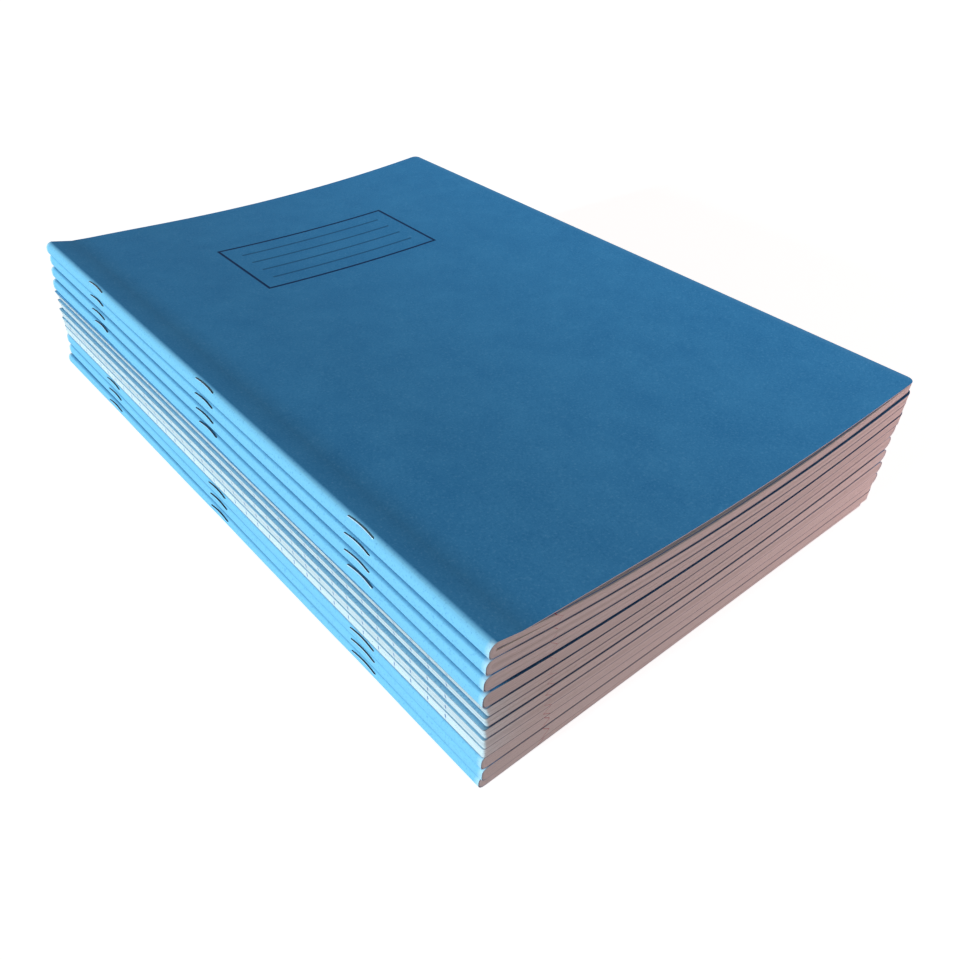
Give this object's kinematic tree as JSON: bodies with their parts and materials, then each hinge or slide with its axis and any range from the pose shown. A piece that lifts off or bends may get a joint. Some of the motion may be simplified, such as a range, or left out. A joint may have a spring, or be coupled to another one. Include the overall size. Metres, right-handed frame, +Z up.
{
  "type": "stack of stapled exercise books",
  "caption": "Stack of stapled exercise books with plain blue card covers and ruled leaves; each book lifts off and the top one opens at its fold.",
  "frame": {"origin": "centre of the flat face that the bottom book rests on", "axes": "+X from the left side to the right side of the stack, +Y from the foot to the head of the pages, +Z up"},
  "size_m": [0.2109, 0.2989, 0.061],
  "materials": {
    "cover_card": "matt uncoated card",
    "ruled_paper": "matt writing paper",
    "staple_wire": "drawn wire"
  },
  "bodies": {
    "book_12": {"book_12_cover": "cover_card", "book_12_leaves": "ruled_paper", "book_12_staples": "staple_wire"},
    "book_11": {"book_11_cover": "cover_card", "book_11_leaves": "ruled_paper", "book_11_staples": "staple_wire"},
    "book_10": {"book_10_cover": "cover_card", "book_10_leaves": "ruled_paper", "book_10_staples": "staple_wire"},
    "book_09": {"book_09_cover": "cover_card", "book_09_leaves": "ruled_paper", "book_09_staples": "staple_wire"},
    "book_08": {"book_08_cover": "cover_card", "book_08_leaves": "ruled_paper", "book_08_staples": "staple_wire"},
    "book_07": {"book_07_cover": "cover_card", "book_07_leaves": "ruled_paper", "book_07_staples": "staple_wire"},
    "book_06": {"book_06_cover": "cover_card", "book_06_leaves": "ruled_paper", "book_06_staples": "staple_wire"},
    "book_05": {"book_05_cover": "cover_card", "book_05_leaves": "ruled_paper", "book_05_staples": "staple_wire"},
    "book_04": {"book_04_cover": "cover_card", "book_04_leaves": "ruled_paper", "book_04_staples": "staple_wire"},
    "book_03": {"book_03_cover": "cover_card", "book_03_leaves": "ruled_paper", "book_03_staples": "staple_wire"},
    "book_02": {"book_02_cover": "cover_card", "book_02_leaves": "ruled_paper", "book_02_staples": "staple_wire"},
    "book_01": {"book_01_rear_cover": "cover_card", "book_01_rear_leaves": "ruled_paper", "book_01_staples": "staple_wire"},
    "front_cover": {"book_01_front_cover": "cover_card"},
    "leaf_01": {"book_01_leaf_01": "ruled_paper"},
    "leaf_02": {"book_01_leaf_02": "ruled_paper"},
    "leaf_03": {"book_01_leaf_03": "ruled_paper"},
    "leaf_04": {"book_01_leaf_04": "ruled_paper"},
    "leaf_05": {"book_01_leaf_05": "ruled_paper"},
    "leaf_06": {"book_01_leaf_06": "ruled_paper"},
    "leaf_07": {"book_01_leaf_07": "ruled_paper"},
    "leaf_08": {"book_01_leaf_08": "ruled_paper"},
    "leaf_09": {"book_01_leaf_09": "ruled_paper"},
    "leaf_10": {"book_01_leaf_10": "ruled_paper"},
    "leaf_11": {"book_01_leaf_11": "ruled_paper"},
    "leaf_12": {"book_01_leaf_12": "ruled_paper"},
    "leaf_13": {"book_01_leaf_13": "ruled_paper"},
    "leaf_14": {"book_01_leaf_14": "ruled_paper"},
    "leaf_15": {"book_01_leaf_15": "ruled_paper"},
    "leaf_16": {"book_01_leaf_16": "ruled_paper"},
    "leaf_17": {"book_01_leaf_17": "ruled_paper"},
    "leaf_18": {"book_01_leaf_18": "ruled_paper"},
    "leaf_19": {"book_01_leaf_19": "ruled_paper"},
    "leaf_20": {"book_01_leaf_20": "ruled_paper"}
  },
  "joints": [
    {"name": "book_11_lift", "type": "slide", "parent": "book_12", "child": "book_11", "axis": [0, 0, 1], "range_m": [0, 0.04]},
    {"name": "book_10_lift", "type": "slide", "parent": "book_11", "child": "book_10", "axis": [0, 0, 1], "range_m": [0, 0.04]},
    {"name": "book_09_lift", "type": "slide", "parent": "book_10", "child": "book_09", "axis": [0, 0, 1], "range_m": [0, 0.04]},
    {"name": "book_08_lift", "type": "slide", "parent": "book_09", "child": "book_08", "axis": [0, 0, 1], "range_m": [0, 0.04]},
    {"name": "book_07_lift", "type": "slide", "parent": "book_08", "child": "book_07", "axis": [0, 0, 1], "range_m": [0, 0.04]},
    {"name": "book_06_lift", "type": "slide", "parent": "book_07", "child": "book_06", "axis": [0, 0, 1], "range_m": [0, 0.04]},
    {"name": "book_05_lift", "type": "slide", "parent": "book_06", "child": "book_05", "axis": [0, 0, 1], "range_m": [0, 0.04]},
    {"name": "book_04_lift", "type": "slide", "parent": "book_05", "child": "book_04", "axis": [0, 0, 1], "range_m": [0, 0.04]},
    {"name": "book_03_lift", "type": "slide", "parent": "book_04", "child": "book_03", "axis": [0, 0, 1], "range_m": [0, 0.04]},
    {"name": "book_02_lift", "type": "slide", "parent": "book_03", "child": "book_02", "axis": [0, 0, 1], "range_m": [0, 0.04]},
    {"name": "book_01_lift", "type": "slide", "parent": "book_02", "child": "book_01", "axis": [0, 0, 1], "range_m": [0, 0.04]},
    {"name": "front_cover_turn", "type": "hinge", "parent": "book_01", "child": "front_cover", "pos_m": [-0.10244, 0, 0.06073], "axis": [0, -1, 0], "range_deg": [0, 180]},
    {"name": "leaf_01_turn", "type": "hinge", "parent": "book_01", "child": "leaf_01", "pos_m": [-0.10244, 0, 0.06073], "axis": [0, -1, 0], "range_deg": [0, 171.44]},
    {"name": "leaf_02_turn", "type": "hinge", "parent": "book_01", "child": "leaf_02", "pos_m": [-0.10244, 0, 0.06073], "axis": [0, -1, 0], "range_deg": [0, 162.87]},
    {"name": "leaf_03_turn", "type": "hinge", "parent": "book_01", "child": "leaf_03", "pos_m": [-0.10244, 0, 0.06073], "axis": [0, -1, 0], "range_deg": [0, 154.3]},
    {"name": "leaf_04_turn", "type": "hinge", "parent": "book_01", "child": "leaf_04", "pos_m": [-0.10244, 0, 0.06073], "axis": [0, -1, 0], "range_deg": [0, 145.72]},
    {"name": "leaf_05_turn", "type": "hinge", "parent": "book_01", "child": "leaf_05", "pos_m": [-0.10244, 0, 0.06073], "axis": [0, -1, 0], "range_deg": [0, 137.15]},
    {"name": "leaf_06_turn", "type": "hinge", "parent": "book_01", "child": "leaf_06", "pos_m": [-0.10244, 0, 0.06073], "axis": [0, -1, 0], "range_deg": [0, 128.58]},
    {"name": "leaf_07_turn", "type": "hinge", "parent": "book_01", "child": "leaf_07", "pos_m": [-0.10244, 0, 0.06073], "axis": [0, -1, 0], "range_deg": [0, 120.01]},
    {"name": "leaf_08_turn", "type": "hinge", "parent": "book_01", "child": "leaf_08", "pos_m": [-0.10244, 0, 0.06073], "axis": [0, -1, 0], "range_deg": [0, 111.44]},
    {"name": "leaf_09_turn", "type": "hinge", "parent": "book_01", "child": "leaf_09", "pos_m": [-0.10244, 0, 0.06073], "axis": [0, -1, 0], "range_deg": [0, 102.87]},
    {"name": "leaf_10_turn", "type": "hinge", "parent": "book_01", "child": "leaf_10", "pos_m": [-0.10244, 0, 0.06073], "axis": [0, -1, 0], "range_deg": [0, 94.3]},
    {"name": "leaf_11_turn", "type": "hinge", "parent": "book_01", "child": "leaf_11", "pos_m": [-0.10244, 0, 0.06073], "axis": [0, -1, 0], "range_deg": [0, 85.72]},
    {"name": "leaf_12_turn", "type": "hinge", "parent": "book_01", "child": "leaf_12", "pos_m": [-0.10244, 0, 0.06073], "axis": [0, -1, 0], "range_deg": [0, 77.15]},
    {"name": "leaf_13_turn", "type": "hinge", "parent": "book_01", "child": "leaf_13", "pos_m": [-0.10244, 0, 0.06073], "axis": [0, -1, 0], "range_deg": [0, 68.58]},
    {"name": "leaf_14_turn", "type": "hinge", "parent": "book_01", "child": "leaf_14", "pos_m": [-0.10244, 0, 0.06073], "axis": [0, -1, 0], "range_deg": [0, 60.01]},
    {"name": "leaf_15_turn", "type": "hinge", "parent": "book_01", "child": "leaf_15", "pos_m": [-0.10244, 0, 0.06073], "axis": [0, -1, 0], "range_deg": [0, 51.44]},
    {"name": "leaf_16_turn", "type": "hinge", "parent": "book_01", "child": "leaf_16", "pos_m": [-0.10244, 0, 0.06073], "axis": [0, -1, 0], "range_deg": [0, 42.87]},
    {"name": "leaf_17_turn", "type": "hinge", "parent": "book_01", "child": "leaf_17", "pos_m": [-0.10244, 0, 0.06073], "axis": [0, -1, 0], "range_deg": [0, 34.3]},
    {"name": "leaf_18_turn", "type": "hinge", "parent": "book_01", "child": "leaf_18", "pos_m": [-0.10244, 0, 0.06073], "axis": [0, -1, 0], "range_deg": [0, 25.72]},
    {"name": "leaf_19_turn", "type": "hinge", "parent": "book_01", "child": "leaf_19", "pos_m": [-0.10244, 0, 0.06073], "axis": [0, -1, 0], "range_deg": [0, 17.15]},
    {"name": "leaf_20_turn", "type": "hinge", "parent": "book_01", "child": "leaf_20", "pos_m": [-0.10244, 0, 0.06073], "axis": [0, -1, 0], "range_deg": [0, 8.58]}
  ],
  "couplings": [
    {"joint": "leaf_01_turn", "follows": "front_cover_turn", "ratio": 0.95238},
    {"joint": "leaf_02_turn", "follows": "front_cover_turn", "ratio": 0.90476},
    {"joint": "leaf_03_turn", "follows": "front_cover_turn", "ratio": 0.85714},
    {"joint": "leaf_04_turn", "follows": "front_cover_turn", "ratio": 0.80952},
    {"joint": "leaf_05_turn", "follows": "front_cover_turn", "ratio": 0.76191},
    {"joint": "leaf_06_turn", "follows": "front_cover_turn", "ratio": 0.71429},
    {"joint": "leaf_07_turn", "follows": "front_cover_turn", "ratio": 0.66667},
    {"joint": "leaf_08_turn", "follows": "front_cover_turn", "ratio": 0.61905},
    {"joint": "leaf_09_turn", "follows": "front_cover_turn", "ratio": 0.57143},
    {"joint": "leaf_10_turn", "follows": "front_cover_turn", "ratio": 0.52381},
    {"joint": "leaf_11_turn", "follows": "front_cover_turn", "ratio": 0.47619},
    {"joint": "leaf_12_turn", "follows": "front_cover_turn", "ratio": 0.42857},
    {"joint": "leaf_13_turn", "follows": "front_cover_turn", "ratio": 0.38095},
    {"joint": "leaf_14_turn", "follows": "front_cover_turn", "ratio": 0.33333},
    {"joint": "leaf_15_turn", "follows": "front_cover_turn", "ratio": 0.28571},
    {"joint": "leaf_16_turn", "follows": "front_cover_turn", "ratio": 0.2381},
    {"joint": "leaf_17_turn", "follows": "front_cover_turn", "ratio": 0.19048},
    {"joint": "leaf_18_turn", "follows": "front_cover_turn", "ratio": 0.14286},
    {"joint": "leaf_19_turn", "follows": "front_cover_turn", "ratio": 0.095238},
    {"joint": "leaf_20_turn", "follows": "front_cover_turn", "ratio": 0.047619}
  ]
}
